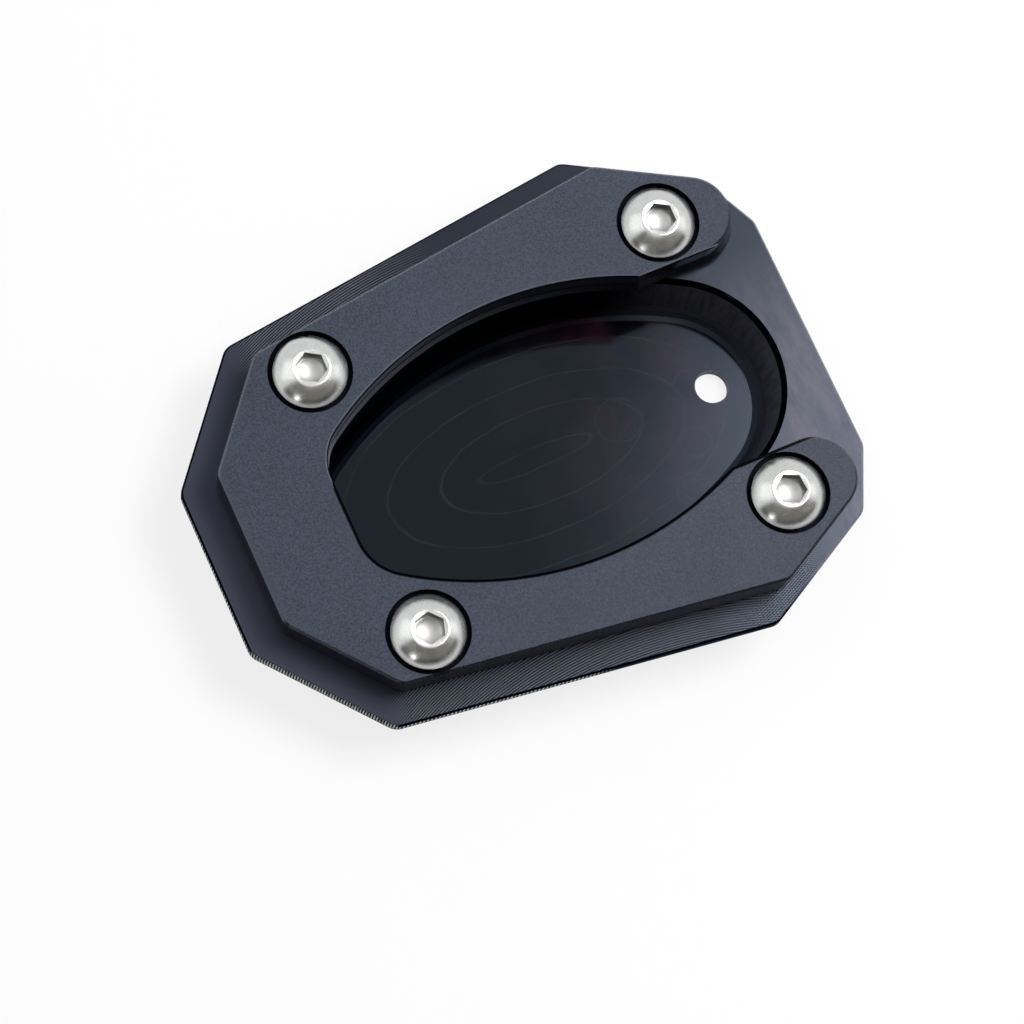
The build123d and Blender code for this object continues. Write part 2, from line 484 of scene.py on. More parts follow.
# The lip's painted light runs from full at the closed end to its least at the mouth.
LIP_RUN = (0.6, 0.4)
LIP_LEAST = 0.1
# Painted shade on the chamfers that face -Y: the slants where it starts and is full, and its tone.
NEAR_FACES = (0.1, -0.2)
NEAR_TONE = 0.3
BORE_DEPTHS = (0.1 * MM, 0.3 * MM)
BORE_MARGINS = (1.0 * MM, 0.9 * MM)
GRAIN_RANGE = (0.36, 0.64)
GRAIN_SHARE = 0.85
DRIFT_WIDTH = 14 * MM
BLASTED_TONES = (0.52, 1.62)
WALL_METAL = 0.75
BLASTED_SPREAD = 0.06
CUT_POLISH = 0.24


class ENLARGER_OT_clamp_plate(bpy.types.Operator):
    """Give the clamp plate its bead-blasted, anodised finish, with painted shade and highlights"""

    bl_idname = "enlarger.clamp_plate"
    bl_label = "Clamp plate"

    def execute(self, context):
        finish = settings().blasted
        under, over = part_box("clamp_plate")
        skin = Shader("blasted_anodised")
        skin.plain(Specular_IOR_Level=finish.gloss)
        steep = skin.parts(skin.facing)["Z"]
        along, across, height = skin.parts(skin.place)
        upright = skin.between(steep, *UPRIGHT_SLANTS)
        chamfer = skin.inside(steep, *BEVELLED)
        near, far = self.opening_edge(skin, steep, along, across)
        lip = skin.times(
            skin.inside(steep, *LIP_SLANTS),
            skin.between(height, under.z + LIP_TOP, under.z + LIP_TOP - LIP_FADE),
            skin.between(along, LIP_RUN[0] * over.x, LIP_RUN[1] * under.x, LIP_LEAST, 1.0),
        )
        bored = skin.times(
            self.counterbores(skin), skin.between(height, *(over.z - depth for depth in BORE_DEPTHS))
        )

        grain = skin.noise(finish.grain, detail=3.0, roughness=0.7)
        drift = skin.noise(DRIFT_WIDTH)
        tone = skin.plus(
            skin.between(grain, *GRAIN_RANGE, 0.0, GRAIN_SHARE),
            skin.between(drift, *NOISE_RANGE, 0.0, 1.0 - GRAIN_SHARE),
        )
        shaded_side = skin.between(skin.parts(skin.facing)["Y"], *NEAR_FACES)
        skin.join("Base Color", skin.coats(
            skin.tones(tone, finish.colour, *BLASTED_TONES),
            # Painted shade: darker upright walls.
            (upright, shade(finish.wall_shade_colour)),
            # Painted shade: chamfers that face -Y are darker.
            (chamfer, skin.tones(shaded_side, finish.edge_and_highlight_colour, 1.0, NEAR_TONE)),
            # Painted light: a paler lip.
            (lip, shade(finish.lip_lit_colour)),
            # Painted shade: a black band on the opening's chamfer on the camera's side.
            (near, shade(finish.bore_shade_colour)),
            # Painted highlight: a pale band on the opening's far chamfer.
            (far, shade(finish.edge_and_highlight_colour, BREAK_TONE)),
            # Painted shade: black counterbores.
            (bored, shade(finish.bore_shade_colour)),
        ))
        # Painted shade: the near chamfer's band, the bores and most of the walls are made metallic, so
        # their dark colours take no diffuse light.
        dark = skin.most(near, bored, skin.times(upright, skin.outside(lip), WALL_METAL))
        skin.join("Metallic", skin.most(skin.times(chamfer, skin.outside(far)), dark))
        rough = skin.times(grain, skin.outside(upright))
        satin = skin.between(
            rough, *NOISE_RANGE, finish.roughness - BLASTED_SPREAD, finish.roughness + BLASTED_SPREAD
        )
        polished = skin.times(skin.most(chamfer, upright), CUT_POLISH)
        skin.join("Roughness", skin.math("SUBTRACT", satin, polished))
        skin.join("Normal", skin.bump(rough, finish.grain_depth))
        dress("clamp_plate", skin.material)
        return {"FINISHED"}

    def opening_edge(self, skin, steep, along, across):
        """The opening's chamfer on the camera's side, painted black for shade, and on the far side, painted
        pale for a highlight.
        """
        margin = self.margin(skin, along, across)
        far_side = skin.between(across, *FAR_SIDE)
        width = skin.between(across, *FAR_SIDE, NEAR_BREAK, FAR_BREAK_FOOT)
        beyond = skin.math("SUBTRACT", margin, width)
        tilted = skin.between(steep, *BREAK_SLANTS)
        near = skin.times(tilted, skin.between(beyond, BREAK_FADE, -BREAK_FADE))
        far = skin.times(
            tilted, skin.between(beyond, -BREAK_FADE, BREAK_FADE), far_side,
            skin.between(margin, FAR_BREAK, FAR_BREAK_SOFT),
        )
        return near, far

    def margin(self, skin, along, across):
        """How far a place on the plate's top lies from the edge of the opening."""
        aside = skin.math("ABSOLUTE", across)

        def past_arc(middle, radius):
            squares = (skin.math("POWER", skin.math("SUBTRACT", value, at), 2.0)
                       for value, at in zip((along, aside), middle))
            return skin.math("SUBTRACT", skin.math("SQRT", skin.plus(*squares)), radius)

        def choose(value, limit, above, below):
            return skin.plus(
                skin.times(skin.math("GREATER_THAN", value, limit), above),
                skin.times(skin.math("LESS_THAN", value, limit), below),
            )

        back = skin.math("SUBTRACT", CORNER_MIDDLE[0] - CORNER_RADIUS, along)
        closed = choose(aside, CORNER_MIDDLE[1], past_arc(CORNER_MIDDLE, CORNER_RADIUS), back)
        side = choose(along, CORNER_END, past_arc(ARC_MIDDLE, ARC_RADIUS), closed)
        return choose(along, MOUTH_START, skin.math("SUBTRACT", aside, MOUTH_HALF_WIDTH), side)

    def counterbores(self, skin):
        """1 inside the four counterbores."""
        bores = []
        for node in SCREWS:
            low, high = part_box(node)
            middle = ((low.x + high.x) / 2, (low.y + high.y) / 2, 0.0)
            away = skin.measured(skin.place, middle, (1.0, 1.0, 1.0))
            reach = skin.vector("LENGTH", skin.vector("MULTIPLY", away, (1.0, 1.0, 0.0)))
            rim = (high.x - low.x) / 2
            bores.append(skin.between(reach, *(rim + margin for margin in BORE_MARGINS)))
        return skin.most(*bores)


# Limits, widths and tones of the base's finish. Lengths along run to +X, and lengths across to +Y.
LEVEL = (0.95, 0.99)
FLOOR_HEIGHTS = (0.3 * BASE_TOP, 0.25 * BASE_TOP)
TOP_HEIGHTS = (0.75 * BASE_TOP, 0.8 * BASE_TOP)
POCKET_MIDDLE = (4.0 * MM, 0.0, 0.0)
POCKET_SIZE = (38.0 * MM, 22.5 * MM, 1.0)
POCKET_BORDER = (1.05, 1.0)
WALL_SLANTS = (0.9995, 0.996)
OVERHANG_SLANTS = (-0.1, -0.05)
WALL_HEIGHTS = (11.05 * MM, 11.0 * MM)
RIM_HEIGHTS = (10.5 * MM, 10.6 * MM)
BLACK_WALL = (30 * MM, 20 * MM)
OPEN_END = (25 * MM, 33 * MM)
OUTLINE_SLANTS = (0.9, 0.85)
OUTLINE_HEIGHTS = (9.45 * MM, 11.28 * MM, 0.02 * MM)
# Painted light on the pocket's front wall: the slants, the run along X and the streaks where it shows.
FRONT_SLANTS = (-0.05, 0.5, 0.3)
FRONT_START = (22 * MM, 34 * MM)
FRONT_END = (41.5 * MM, 41.0 * MM)
FRONT_STREAKS = (0.35, 0.65, 0.5, 1.0)
# Painted light and shade on the top: paler towards the closed end, and painted shade on its +Y side.
PALE_END = (-22 * MM, -40 * MM)
PALE_TONE = 2.0
SHADED_ACROSS = (2 * MM, 14 * MM)
SHADED_ALONG = (-36 * MM, -26 * MM)
TOP_TONES = (0.95, 0.5)
# Painted sheen on the flat at the open end: where it lies, its streaks and their size.
SHEEN_ALONG = (31 * MM, 38 * MM)
SHEEN_ACROSS = (15 * MM, -1 * MM)
SHEEN_STREAKS = (0.35, 0.62, 0.3, 1.0)
SHEEN_WIDTH = 1.8 * MM
SHEEN_SQUEEZE = (1.0, 0.3, 1.0)
CLOUD_WIDTH = 6 * MM
CLOUD_TONES = (0.8, 1.25)
BLOTCH_ALONG = (0.0, 30 * MM)
BLOTCH_WIDTH = 9 * MM
BLOTCH_RANGE = (0.42, 0.62)
MILLED_SPREAD = 0.02
WALL_DULLNESS = 0.4
OUTLINE_DULLNESS = 0.8
TOP_DULLNESS = 0.16
STREAK_SLANTS = (0.3, 0.2)
STREAK_WIDTH = 0.5 * MM
STREAK_SQUEEZE = (1.0, 1.0, 0.04)
STREAK_DEPTH = 0.02 * MM

# Where the face mill's arcs start and are crossed, and where the top is smooth instead.
ARCS_CROSSED = (14 * MM, 26 * MM, 0.0, 0.5)
ARCS_START = (-33 * MM, -28 * MM)
SMOOTH_ACROSS = (0.0, 5 * MM)
SMOOTH_ALONG = (-12 * MM, 2 * MM)
SMOOTH_MOUTH = (30 * MM, 36 * MM)

# The ridges on one rim wall: which way it faces, and the height and the end that they keep to.
TICKED_WALL = math.radians(219.4)
TICKED_FACES = (0.6, 0.68)
TICK_RANGE = (0.45, 0.6)
TICK_HEIGHTS = (9.7 * MM, 11.2 * MM, 0.1 * MM)
TICK_END = (0.0, -5 * MM)
TICK_WEAR_WIDTH = 0.7 * MM
TICK_WEAR = (0.3, 0.65, 0.3, 1.0)

# Middle, half length and half width of each oval path, and middle and radius of each swirl.
FLOOR_OVALS = (
    ((4.0 * MM, 0.0, 0.0), 29.5 * MM, 15.5 * MM),
    ((4.4 * MM, 0.0, 0.0), 23.0 * MM, 10.9 * MM),
    ((5.0 * MM, 0.0, 0.0), 15.6 * MM, 6.7 * MM),
    ((4.0 * MM, 0.0, 0.0), 9.0 * MM, 1.6 * MM),
)
FLOOR_SWIRLS = (
    ((17.6 * MM, 0.6 * MM, 0.0), 3.3 * MM),
    ((29.3 * MM, 1.6 * MM, 0.0), 2.3 * MM),
    ((26.6 * MM, -6.6 * MM, 0.0), 2.2 * MM),
    ((23.3 * MM, -12.8 * MM, 0.0), 2.4 * MM),
    ((23.3 * MM, -12.8 * MM, 0.0), 1.5 * MM),
)
OVAL_LINE = 0.24 * MM
SWIRL_LINE = 0.20 * MM
PATH_WANDER = (9 * MM, 0.6 * MM)
PATH_WEAR_WIDTH = 4 * MM
PATH_WEAR = (0.36, 0.68, 0.35, 1.0)


class ENLARGER_OT_base(bpy.types.Operator):
    """Give the base its milled, anodised finish, with painted light and shade"""

    bl_idname = "enlarger.base"
    bl_label = "Base"

    def execute(self, context):
        finish = settings().milled
        skin = Shader("milled_anodised")
        skin.plain(Specular_IOR_Level=finish.gloss, Specular_Tint=shade(finish.tint))
        along, across, height = skin.parts(skin.place)
        steep = skin.parts(skin.facing)["Z"]
        level = skin.between(steep, *LEVEL)
        floor = skin.times(level, skin.between(height, *FLOOR_HEIGHTS))
        top = skin.times(level, skin.between(height, *TOP_HEIGHTS))
        within = skin.between(
            skin.vector("LENGTH", skin.measured(skin.place, POCKET_MIDDLE, POCKET_SIZE)), *POCKET_BORDER
        )
        bevel = skin.inside(steep, *BEVELLED)
        wall = skin.times(
            within, skin.between(steep, *WALL_SLANTS), skin.between(steep, *OVERHANG_SLANTS),
            skin.between(height, *WALL_HEIGHTS),
        )
        rim = skin.times(within, bevel, skin.between(height, *RIM_HEIGHTS))
        beside, open_end = skin.outside(within), skin.between(along, *OPEN_END)
        outer = skin.times(bevel, beside, open_end)
        ticks = self.rim_ticks(skin, finish, along, height)
        outline = skin.times(
            beside, skin.between(steep, *OUTLINE_SLANTS), skin.outside(open_end),
            skin.inside(height, *OUTLINE_HEIGHTS), skin.outside(ticks),
        )
        ridges, milled = self.face_mill_arcs(skin, finish, along, across)
        streaks = self.wall_streaks(skin, steep)
        front = skin.times(
            skin.inside(steep, *FRONT_SLANTS), skin.between(along, *FRONT_START),
            skin.between(along, *FRONT_END), skin.between(streaks, *FRONT_STREAKS),
        )
        sheen_streaks = skin.noise(SHEEN_WIDTH, detail=5.0, roughness=0.68, squeeze=SHEEN_SQUEEZE)
        sheen = skin.times(
            top, skin.between(along, *SHEEN_ALONG), skin.between(across, *SHEEN_ACROSS),
            skin.between(sheen_streaks, *SHEEN_STREAKS),
        )
        floor_blotches = skin.times(
            floor, skin.between(along, *BLOTCH_ALONG),
            skin.between(skin.noise(BLOTCH_WIDTH, detail=3.0), *BLOTCH_RANGE),
        )

        cloud = skin.noise(CLOUD_WIDTH, detail=4.0, roughness=0.6)
        shaded = skin.times(skin.between(across, *SHADED_ACROSS), skin.between(along, *SHADED_ALONG))
        topped = skin.blend(
            skin.between(along, *PALE_END), skin.tones(shaded, finish.lit_top_colour, *TOP_TONES),
            shade(finish.lit_top_colour, PALE_TONE),
        )
        # Painted highlights on the arcs' ridges, over the dark dye in their grooves.
        grooved = skin.blend(
            skin.between(ridges, *NOISE_RANGE), shade(finish.colour), shade(finish.ridge_highlight_colour)
        )
        skin.join("Base Color", skin.coats(
            skin.tones(cloud, finish.colour, *CLOUD_TONES),
            # Painted light on the level top, paler at the closed end, with painted shade on its +Y side.
            (top, topped),
            (skin.times(top, milled), grooved),
            # Painted light on the pocket's front wall, following its streaks.
            (front, shade(finish.front_lit_colour)),
            # Painted sheen on the flat at the open end.
            (sheen, shade(finish.sheen_colour)),
            # Lilac blotches on the floor's half towards the drain.
            (floor_blotches, shade(finish.floor_blotch_colour)),
            (skin.times(floor, self.cutter_paths(skin)), shade(finish.mark_colour)),
            (ticks, shade(finish.tick_colour)),
            # Painted highlight: the outer bevel at the open end.
            (outer, shade(finish.edge_and_highlight_colour)),
            (rim, shade(finish.colour)),
        ))
        # Painted shade: the pocket's rim chamfer, its walls away from the open end and the outer walls
        # beside it are made black metal, so they show almost no light.
        black = skin.most(rim, skin.times(wall, skin.between(along, *BLACK_WALL)))
        skin.join("Metallic", skin.most(black, outline))
        satin = skin.between(
            cloud, *NOISE_RANGE, finish.roughness - MILLED_SPREAD, finish.roughness + MILLED_SPREAD
        )
        skin.join("Roughness", skin.plus(
            satin, skin.times(wall, WALL_DULLNESS), skin.times(outline, OUTLINE_DULLNESS),
            skin.times(top, TOP_DULLNESS),
        ))
        swept = skin.bump(skin.times(top, ridges, milled), finish.sweep_depth)
        skin.join("Normal", skin.bump(streaks, STREAK_DEPTH, swept))
        dress("base_plate", skin.material)
        return {"FINISHED"}

    def face_mill_arcs(self, skin, finish, along, across):
        """Arcs that a large cutter left as it crossed the base from side to side, and where they are."""
        squared = skin.math("SUBTRACT", finish.sweep_radius ** 2, skin.math("POWER", along, 2.0))
        reach = skin.math("SQRT", squared)
        leading = skin.waves(skin.math("SUBTRACT", across, reach), finish.sweep_pitch)
        trailing = skin.waves(skin.plus(across, reach), finish.sweep_pitch)
        crossed = skin.between(along, *ARCS_CROSSED)
        ridges = skin.plus(skin.times(leading, skin.outside(crossed)), skin.times(trailing, crossed))
        far_side = skin.times(skin.between(across, *SMOOTH_ACROSS), skin.between(along, *SMOOTH_ALONG))
        smooth = skin.most(far_side, skin.between(along, *SMOOTH_MOUTH))
        return ridges, skin.times(skin.between(along, *ARCS_START), skin.outside(smooth))

    def rim_ticks(self, skin, finish, along, height):
        """Bright upright ridges on the rim wall at the closed end's -Y corner."""
        outward = (math.cos(TICKED_WALL), math.sin(TICKED_WALL), 0.0)
        sideways = (-math.sin(TICKED_WALL), math.cos(TICKED_WALL), 0.0)
        faces = skin.vector("DOT_PRODUCT", skin.facing, outward)
        run = skin.vector("DOT_PRODUCT", skin.place, sideways)
        return skin.times(
            skin.between(faces, *TICKED_FACES),
            skin.between(along, *TICK_END),
            skin.between(skin.waves(run, finish.tick_pitch), *TICK_RANGE),
            skin.between(skin.noise(TICK_WEAR_WIDTH, detail=3.0), *TICK_WEAR),
            skin.inside(height, *TICK_HEIGHTS),
        )

    def cutter_paths(self, skin):
        """Faint ovals and small swirls where the cutter turned on the pocket's floor."""
        place = skin.unsteady(*PATH_WANDER)
        lines = [skin.oval(place, *path, OVAL_LINE) for path in FLOOR_OVALS]
        lines += [skin.oval(place, middle, radius, radius, SWIRL_LINE) for middle, radius in FLOOR_SWIRLS]
        worn = skin.between(skin.noise(PATH_WEAR_WIDTH, detail=3.0), *PATH_WEAR)
        return skin.times(skin.most(*lines), worn)

    def wall_streaks(self, skin, steep):
        """Fine upright lines on the walls."""
        return skin.times(
            skin.between(steep, *STREAK_SLANTS), skin.noise(STREAK_WIDTH, squeeze=STREAK_SQUEEZE)
        )


# How finely the screws are turned, and how far a cutting shape reaches past what it cuts.
EDGE_BREAK = 0.1 * MM
RING_SIDES = 96
DRILL_SIDES = 36
DOME_RINGS = 14
SMOOTH_ANGLE = math.radians(28.0)
HALF_SIDE = math.pi / 6
CUT_SPARE = 0.2 * MM
DRILL_OVERSIZE = 1.1

# Limits, widths and tones of the steel. The socket's depths start from the head's top.
SPECK_WIDTH = 0.22 * MM
SPECK_DEPTH = 0.004 * MM
SATIN_WIDTH = 1.6 * MM
STEEL_TONES = (0.88, 1.06)
STEEL_SPREAD = (-0.04, 0.05)
SOCKET_SLANTS = (0.3, 0.15)
SOCKET_DEPTHS = (2.02 * MM, 1.98 * MM)
SOCKET_SHADE_TONE = 0.17
BOTTOM_SLANTS = (0.6, 0.7)
BOTTOM_DEPTHS = (1.85 * MM, 1.9 * MM)
BOTTOM_TONE = 0.95
BOTTOM_DULLNESS = 0.25


class Turning:
    """A turned piece on the Z axis, grown upwards ring by ring from a round face."""

    def __init__(self, name, radius, height):
        bpy.ops.object.select_all(action="DESELECT")
        bpy.ops.mesh.primitive_circle_add(
            vertices=RING_SIDES, radius=radius, fill_type="NGON", location=(0.0, 0.0, height)
        )
        bpy.ops.object.transform_apply()
        self.piece = bpy.context.active_object
        self.piece.name = name
        self.radius, self.height = radius, height
        bpy.ops.object.mode_set(mode="EDIT")

    def ring(self, radius, height):
        """Extrudes the face on top to a new radius and height."""
        bpy.ops.mesh.extrude_region_move(TRANSFORM_OT_translate={"value": (0.0, 0.0, height - self.height)})
        ratio = radius / self.radius
        bpy.ops.transform.resize(value=(ratio, ratio, 1.0), center_override=(0.0, 0.0, height))
        self.radius, self.height = radius, height

    def finish(self):
        """Leaves edit mode and gives back the piece."""
        bpy.ops.object.mode_set(mode="OBJECT")
        return self.piece


def cut(piece, tool):
    """Takes the tool's shape out of the piece."""
    change = piece.modifiers.new("cut", "BOOLEAN")
    change.object = tool
    change.operation = "DIFFERENCE"
    change.solver = "EXACT"
    bpy.ops.object.select_all(action="DESELECT")
    piece.select_set(True)
    bpy.context.view_layer.objects.active = piece
    bpy.ops.object.modifier_apply(modifier=change.name)
    bpy.data.objects.remove(tool)


def turn_button_head(sizes, rim, foot, top):
    """Button head screw with a plain shank, on the Z axis."""
    seat = foot + sizes.length
    screw = Turning("button_screw", sizes.shank / 2, foot)
    screw.ring(sizes.shank / 2, seat)
    screw.ring(rim - EDGE_BREAK, seat)
    screw.ring(rim, seat + EDGE_BREAK)
    screw.ring(rim, seat + sizes.head_land)
    flat, rise = sizes.flat / 2, top - seat - sizes.head_land
    below = (rim ** 2 - flat ** 2 - rise ** 2) / (2 * rise)
    curve = math.hypot(rim, below)
    first, last = math.atan2(below, rim), math.atan2(below + rise, flat)
    for step in range(1, DOME_RINGS + 1):
        angle = first + (last - first) * step / DOME_RINGS
        screw.ring(curve * math.cos(angle), seat + sizes.head_land - below + curve * math.sin(angle))
    return screw.finish()


def cut_socket(screw, sizes, top):
    """Hexagon socket with a lead-in cone above and a drilled cone below."""
    corner = sizes.socket / 2 / math.cos(HALF_SIDE)
    bpy.ops.object.select_all(action="DESELECT")
    bpy.ops.mesh.primitive_cylinder_add(
        vertices=6, radius=corner, depth=sizes.socket_depth + CUT_SPARE,
        location=(0.0, 0.0, top + (CUT_SPARE - sizes.socket_depth) / 2), rotation=(0.0, 0.0, HALF_SIDE),
    )
    cut(screw, bpy.context.active_object)
    steepness = (sizes.flat / 2 - sizes.socket / 2) / sizes.lead_in
    bpy.ops.mesh.primitive_cone_add(
        vertices=RING_SIDES, radius1=sizes.socket / 2,
        radius2=sizes.flat / 2 - EDGE_BREAK + CUT_SPARE * steepness, depth=sizes.lead_in + CUT_SPARE,
        location=(0.0, 0.0, top + (CUT_SPARE - sizes.lead_in) / 2),
    )
    cut(screw, bpy.context.active_object)
    floor = top - sizes.socket_depth
    bpy.ops.mesh.primitive_cone_add(
        vertices=DRILL_SIDES, radius1=0.0, radius2=sizes.drill / 2 * DRILL_OVERSIZE,
        depth=sizes.drill_depth * DRILL_OVERSIZE,
        location=(0.0, 0.0, floor - sizes.drill_depth * (1.0 - DRILL_OVERSIZE / 2)),
    )
    cut(screw, bpy.context.active_object)


def steel(sizes):
    """Satin stainless steel, with painted shade on the socket's walls, and duller on its bottom."""
    skin = Shader("satin_stainless")
    skin.plain(Metallic=1.0)
    speck = skin.noise(SPECK_WIDTH, detail=3.0)
    cloud = skin.noise(SATIN_WIDTH)
    tone = skin.plus(*(skin.between(noise, *NOISE_RANGE, 0.0, 0.5) for noise in (speck, cloud)))
    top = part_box(SCREWS[0])[1].z
    steep, height = skin.parts(skin.facing)["Z"], skin.parts(skin.place)["Z"]
    wall, bottom = (
        skin.times(skin.between(steep, *slants), skin.between(height, *(top - depth for depth in depths)))
        for slants, depths in ((SOCKET_SLANTS, SOCKET_DEPTHS), (BOTTOM_SLANTS, BOTTOM_DEPTHS))
    )
    skin.join("Base Color", skin.coats(
        skin.tones(tone, sizes.colour, *STEEL_TONES),
        # Painted shade: darker socket walls.
        (wall, shade(sizes.colour, SOCKET_SHADE_TONE)),
        (bottom, shade(sizes.colour, BOTTOM_TONE)),
    ))
    satin = skin.between(
        cloud, *NOISE_RANGE, *(sizes.roughness + change for change in STEEL_SPREAD)
    )
    skin.join("Roughness", skin.plus(satin, skin.times(bottom, BOTTOM_DULLNESS)))
    skin.join("Normal", skin.bump(speck, SPECK_DEPTH))
    return skin.material


class ENLARGER_OT_screws(bpy.types.Operator):
    """Turn the button head screws and put one in each counterbore"""

    bl_idname = "enlarger.screws"
    bl_label = "Clamp screws"

    def execute(self, context):
        sizes = settings().screws
        low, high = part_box(SCREWS[0])
        model = turn_button_head(sizes, (high.x - low.x) / 2, low.z, high.z)
        cut_socket(model, sizes, high.z)
        bpy.ops.object.shade_smooth_by_angle(angle=SMOOTH_ANGLE)
        model.data.materials.clear()
        model.data.materials.append(steel(sizes))
        for node, turn in zip(SCREWS, sizes.turns):
            low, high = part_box(node)
            screw = model.copy()
            screw.data = model.data.copy()
            screw.name = node.replace("clamp", "button")
            context.scene.collection.objects.link(screw)
            middle = Matrix.Translation(((low.x + high.x) / 2, (low.y + high.y) / 2, 0.0))
            screw.data.transform(middle @ Matrix.Rotation(turn, 4, "Z"))
            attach(screw, "root")
            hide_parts(node)
        bpy.data.objects.remove(model)
        return {"FINISHED"}


# The floor lies just under the part. A camera's sensor and lens are in millimetres.
FLOOR_SIZE = 4.0
FLOOR_DROP = 0.02 * MM
FLOOR_COLOUR = (0.86, 0.86, 0.87)
FLOOR_ROUGHNESS = 0.8
SKY_COLOUR = (0.93, 0.95, 1.0)
SKY_STRENGTH = 0.5
SENSOR = 36.0
CLIP_START = 0.01

# The softbox blocks some of the sky, so its dark rim still glows like it.
SOFTBOX_PLACE = (0.42, 0.0, 0.70)
SOFTBOX_SIDES = 64
SOFTBOX_RADIUS = 0.29
SOFTBOX_CORE = 0.18
SOFTBOX_RIM_GLOW = 1.0

# The dark card is part of an upright cylinder, and gets paler between two heights.
FLAG_RADIUS = 0.85
FLAG_SIDES = 72
FLAG_FOOT = 0.14
FLAG_TOP = 1.35
FLAG_FROM = math.radians(178.0)
FLAG_TO = math.radians(328.0)
FLAG_PALER = (0.33, 0.40)
FLAG_LOW_COLOUR = (0.03, 0.03, 0.03)
FLAG_HIGH_COLOUR = (0.36, 0.34, 0.29)

# Name, place, width and height of each lamp. The studio's settings hold its power under the same name.
LAMPS = (
    ("side", (-0.43, 0.32, 0.45), 0.50, 0.50),
    ("front", (0.64, -0.09, 0.26), 0.30, 0.24),
    ("window", (-0.50, -0.34, 0.23), 0.09, 0.09),
)


def white_to_the_eye(tree, shader, glow):
    """Mixes a white glow into a shader for the rays that show the background."""
    path = tree.node("ShaderNodeLightPath").outputs
    seen = tree.most(path["Is Camera Ray"], path["Is Glossy Ray"], path["Is Transmission Ray"])
    white = tree.node("ShaderNodeEmission", {"Color": WHITE}).outputs[0]
    return tree.node("ShaderNodeMixShader", {0: tree.times(seen, glow), 1: shader, 2: white}).outputs[0]


def lay_floor(studio):
    """Pale floor under the part."""
    bpy.ops.object.select_all(action="DESELECT")
    bpy.ops.mesh.primitive_plane_add(size=FLOOR_SIZE, location=(0.0, 0.0, -FLOOR_DROP))
    floor = bpy.context.active_object
    floor.name = "floor"
    skin = Shader("pale_floor")
    skin.plain(Base_Color=shade(FLOOR_COLOUR), Roughness=FLOOR_ROUGHNESS)
    skin.cover(white_to_the_eye(skin, skin.skin.outputs[0], studio.floor_glow))
    floor.data.materials.append(skin.material)


def light_world():
    """Even pale light from all round."""
    world = bpy.data.worlds.new("studio_world")
    bpy.context.scene.world = world
    sky = Tree(world)
    even = sky.nodes["Background"]
    even.inputs["Color"].default_value = shade(SKY_COLOUR)
    even.inputs["Strength"].default_value = SKY_STRENGTH
    lit = white_to_the_eye(sky, even.outputs[0], 1.0)
    sky.links.new(lit, sky.nodes["World Output"].inputs["Surface"])


def hang_lamp(name, place, width, height, power):
    """Soft rectangular lamp that faces the part."""
    data = bpy.data.lights.new(name, "AREA")
    data.shape = "RECTANGLE"
    data.size = width
    data.size_y = height
    data.energy = power
    lamp = bpy.data.objects.new(name, data)
    bpy.context.scene.collection.objects.link(lamp)
    lamp.location = place
    lamp.rotation_euler = (-Vector(place)).to_track_quat("-Z", "Y").to_euler()


def hang_softbox(studio):
    """Round softbox over the open end, brightest in its middle, which the camera doesn't see."""
    bpy.ops.object.select_all(action="DESELECT")
    bpy.ops.mesh.primitive_circle_add(
        vertices=SOFTBOX_SIDES, radius=SOFTBOX_RADIUS, fill_type="NGON", location=SOFTBOX_PLACE
    )
    softbox = bpy.context.active_object
    softbox.name = "softbox"
    skin = Shader("lit_silk")
    reach = skin.vector("LENGTH", skin.place)
    fall = skin.math("POWER", skin.between(reach, SOFTBOX_RADIUS, SOFTBOX_CORE), 2.0)
    strength = skin.plus(skin.times(fall, studio.softbox_glow), SOFTBOX_RIM_GLOW)
    glow = {"Color": shade(studio.softbox_colour), "Strength": strength}
    skin.cover(skin.node("ShaderNodeEmission", glow).outputs[0])
    softbox.data.materials.append(skin.material)
    softbox.visible_camera = False
    softbox.visible_shadow = False


def hang_flag():
    """Dark curved card on the -Y side, which the heads mirror and the camera doesn't see."""
    bpy.ops.object.select_all(action="DESELECT")
    bpy.ops.mesh.primitive_cylinder_add(
        vertices=FLAG_SIDES, radius=FLAG_RADIUS, depth=FLAG_TOP - FLAG_FOOT, end_fill_type="NOTHING",
        location=(0.0, 0.0, (FLAG_TOP + FLAG_FOOT) / 2),
    )
    flag = bpy.context.active_object
    flag.name = "dark_card"
    bpy.ops.object.mode_set(mode="EDIT")
    bpy.ops.mesh.select_mode(type="FACE")
    bpy.ops.mesh.select_all(action="DESELECT")
    bpy.ops.object.mode_set(mode="OBJECT")
    for face in flag.data.polygons:
        heading = math.atan2(face.center.y, face.center.x) % (2.0 * math.pi)
        face.select = not FLAG_FROM < heading < FLAG_TO
    bpy.ops.object.mode_set(mode="EDIT")
    bpy.ops.mesh.delete(type="FACE")
    bpy.ops.object.mode_set(mode="OBJECT")
    skin = Shader("dark_cloth")
    skin.plain(Roughness=1.0)
    height = skin.parts(skin.place)["Z"]
    upper = skin.between(height, *(limit - flag.location.z for limit in FLAG_PALER))
    skin.join("Base Color", skin.blend(upper, shade(FLAG_LOW_COLOUR), shade(FLAG_HIGH_COLOUR)))
    flag.data.materials.append(skin.material)
    flag.visible_camera = False


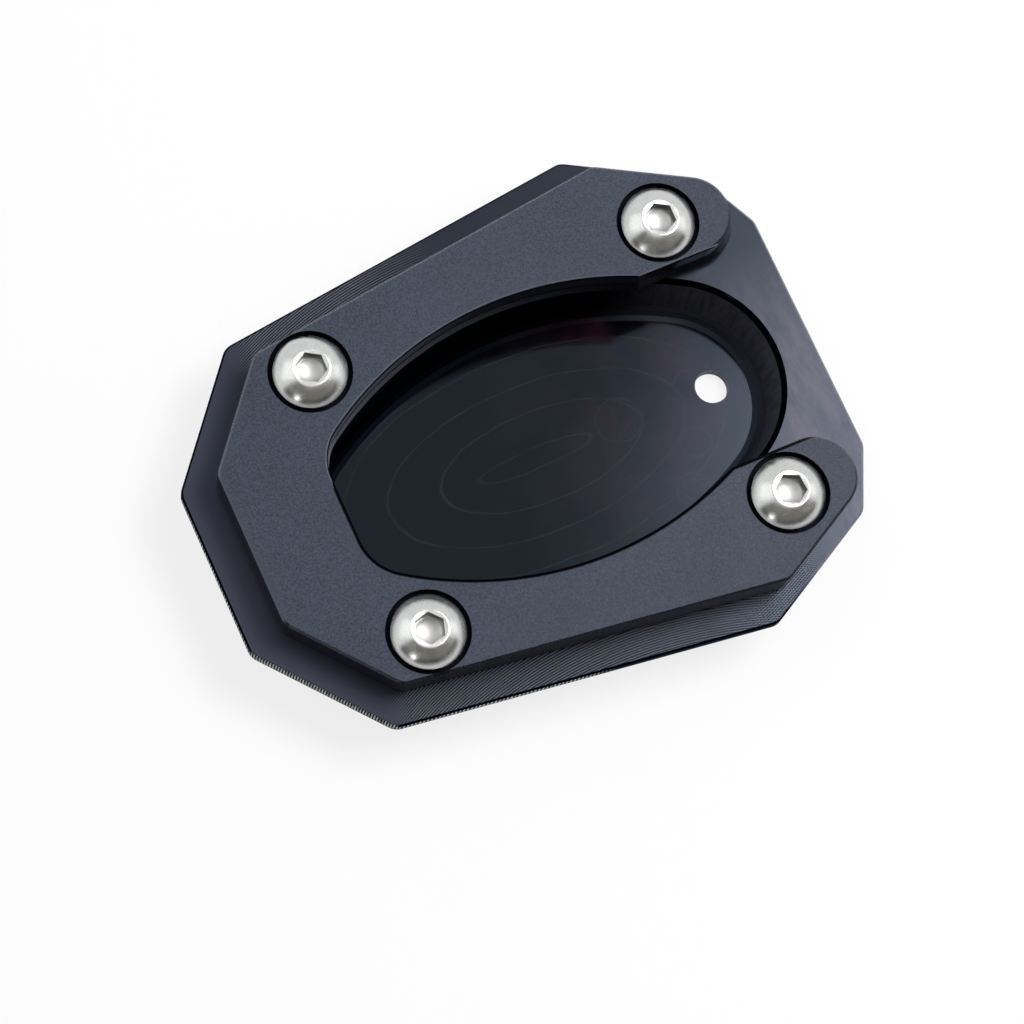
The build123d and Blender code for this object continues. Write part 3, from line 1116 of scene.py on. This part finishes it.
def set_camera(studio):
    """Camera that looks down on the part, turned about its line of sight."""
    level_reach = math.cos(studio.elevation)
    forward = Vector((
        level_reach * math.cos(studio.heading),
        level_reach * math.sin(studio.heading),
        -math.sin(studio.elevation),
    ))
    level = forward.cross(Vector((0.0, 0.0, 1.0))).normalized()
    above = level.cross(forward)
    right = level * math.cos(studio.roll) + above * math.sin(studio.roll)
    up = right.cross(forward)
    data = bpy.data.cameras.new("camera")
    data.sensor_width = SENSOR
    data.lens = studio.lens
    data.clip_start = CLIP_START
    camera = bpy.data.objects.new("camera", data)
    bpy.context.scene.collection.objects.link(camera)
    turned = Matrix((right, up, -forward)).transposed().to_4x4()
    camera.matrix_world = Matrix.Translation(Vector(studio.aim) - forward * studio.distance) @ turned
    bpy.context.scene.camera = camera


class ENLARGER_OT_studio(bpy.types.Operator):
    """Lay the floor, hang the lamps and set the camera"""

    bl_idname = "enlarger.studio"
    bl_label = "Studio"

    def execute(self, context):
        studio = settings().studio
        context.scene.view_settings.view_transform = "Standard"
        set_camera(studio)
        lay_floor(studio)
        light_world()
        hang_flag()
        hang_softbox(studio)
        for name, place, width, height in LAMPS:
            hang_lamp(name, place, width, height, getattr(studio, name + "_power"))
        return {"FINISHED"}


class ENLARGER_PT_panel(bpy.types.Panel):
    """Sizes, colours and steps of the foot enlarger"""

    bl_idname = "ENLARGER_PT_panel"
    bl_label = "Foot enlarger"
    bl_space_type = "VIEW_3D"
    bl_region_type = "UI"
    bl_category = "Enlarger"

    def draw(self, context):
        layout = self.layout
        for group in ("blasted", "milled", "screws", "studio"):
            values = getattr(context.scene.enlarger, group)
            box = layout.box()
            for name in values.__annotations__:
                box.prop(values, name)
        for step in STEPS:
            layout.operator(step.bl_idname)


STEPS = (
    ENLARGER_OT_studio,
    ENLARGER_OT_base,
    ENLARGER_OT_clamp_plate,
    ENLARGER_OT_screws,
)
CLASSES = (
    BlastedFinish,
    MilledFinish,
    ScrewSizes,
    Studio,
    Enlarger,
) + STEPS + (ENLARGER_PT_panel,)


def register():
    """Registers the classes and keeps their values with the scene."""
    for cls in CLASSES:
        bpy.utils.register_class(cls)
    bpy.types.Scene.enlarger = PointerProperty(type=Enlarger)


def unregister():
    """Takes back what register did."""
    del bpy.types.Scene.enlarger
    for cls in reversed(CLASSES):
        bpy.utils.unregister_class(cls)


def main():
    """Registers the classes and runs each step in order."""
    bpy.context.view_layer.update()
    register()
    for step in STEPS:
        group, name = step.bl_idname.split(".")
        getattr(getattr(bpy.ops, group), name)()


if __name__ == "__main__":
    main()
